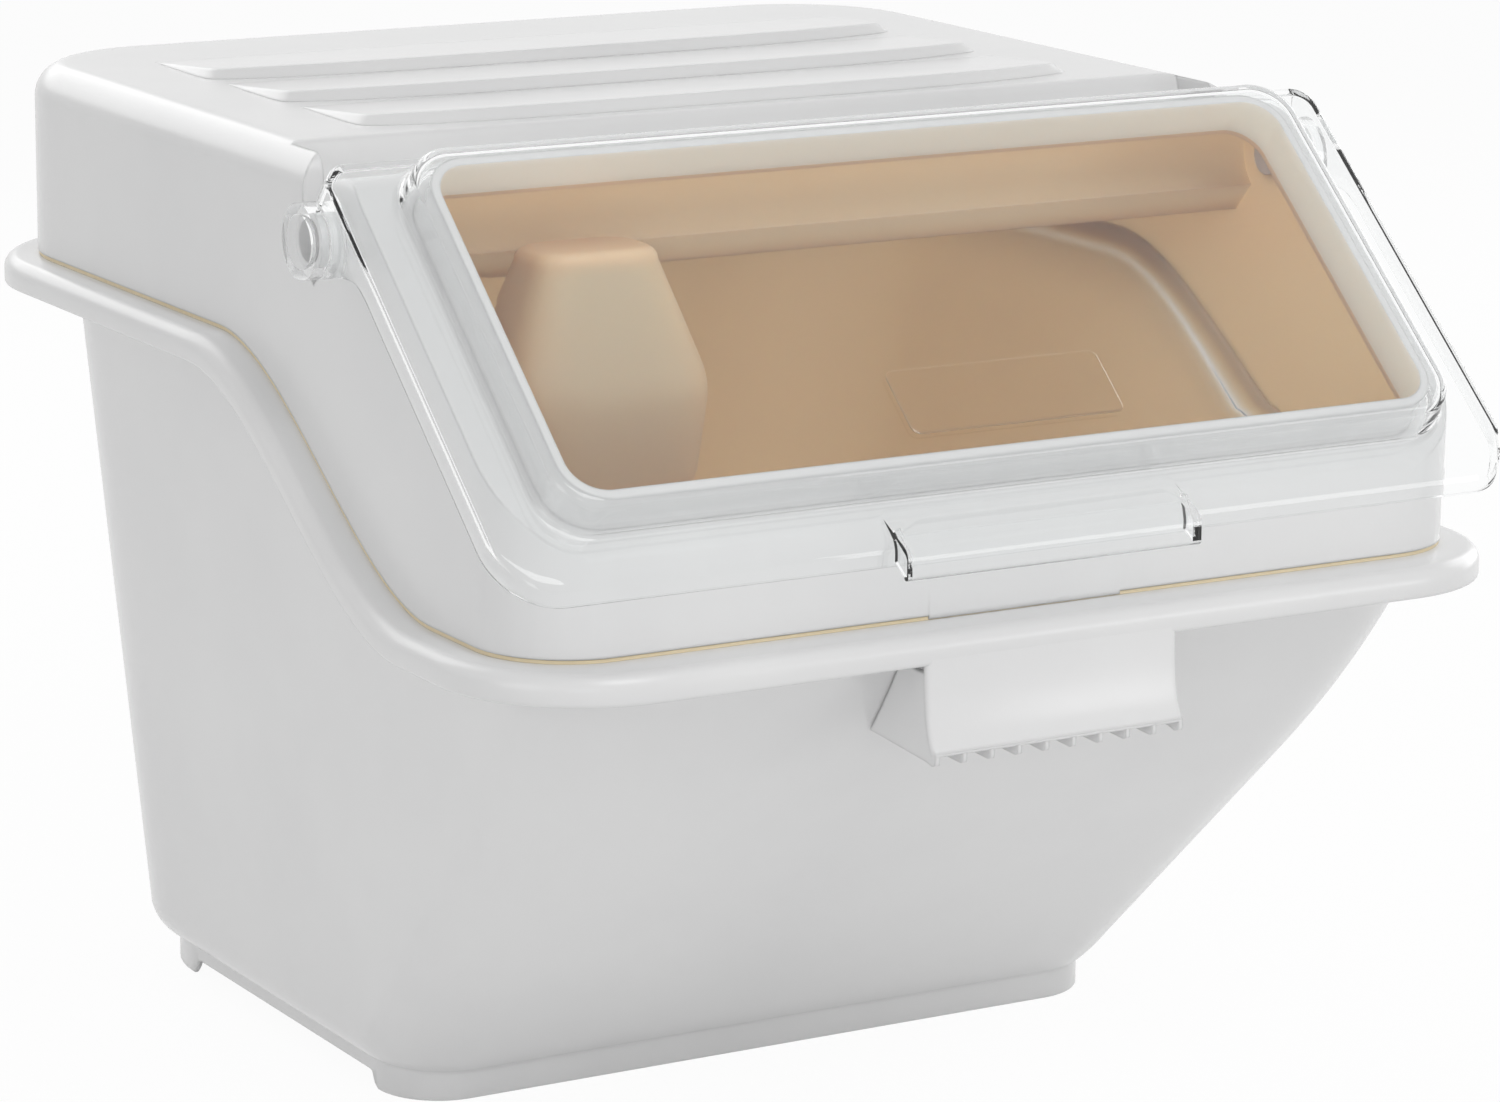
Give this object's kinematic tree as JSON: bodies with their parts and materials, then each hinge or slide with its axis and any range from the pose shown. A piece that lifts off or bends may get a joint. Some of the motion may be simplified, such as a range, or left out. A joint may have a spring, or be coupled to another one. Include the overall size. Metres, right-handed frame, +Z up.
{
  "type": "shelf ingredient bin",
  "caption": "Stationary plastic ingredient bin with a sloping tub, a lift-off hood, a hinged clear window lid over the dispensing opening and a hanging scoop.",
  "frame": {"origin": "centre of the bounding box in plan, at the level of the feet", "axes": "+X to the right seen from the front, +Y to the rear, +Z up"},
  "size_m": [0.489, 0.558, 0.4256],
  "materials": {
    "white_shell": "satin-gloss white moulded polyethylene, warm tan inside",
    "tan_seal": "soft tan strip",
    "white_pin": "plain white plastic",
    "clear_lid": "clear polished polycarbonate",
    "scoop_white": "white semi-gloss plastic"
  },
  "bodies": {
    "base": {"tub": "white_shell", "rim_seal": "tan_seal", "front_grip": "white_shell"},
    "cover": {"hood": "white_shell", "hinge_pin_left": "white_pin", "hinge_pin_right": "white_pin", "scoop_hook": "white_pin"},
    "lid": {"window_lid": "clear_lid"},
    "scooper": {"scoop": "scoop_white"}
  },
  "joints": [
    {"name": "hood_lift", "type": "slide", "parent": "base", "child": "cover", "axis": [0, 0, 1], "range_m": [0, 0.25]},
    {"name": "lid_hinge", "type": "hinge", "parent": "cover", "child": "lid", "pos_m": [0, -0.096, 0.3855], "axis": [-1, 0, 0], "range_deg": [0, 140]},
    {"name": "scoop_lift", "type": "slide", "parent": "cover", "child": "scooper", "axis": [0, 0, 1], "range_m": [0, 0.015]}
  ]
}
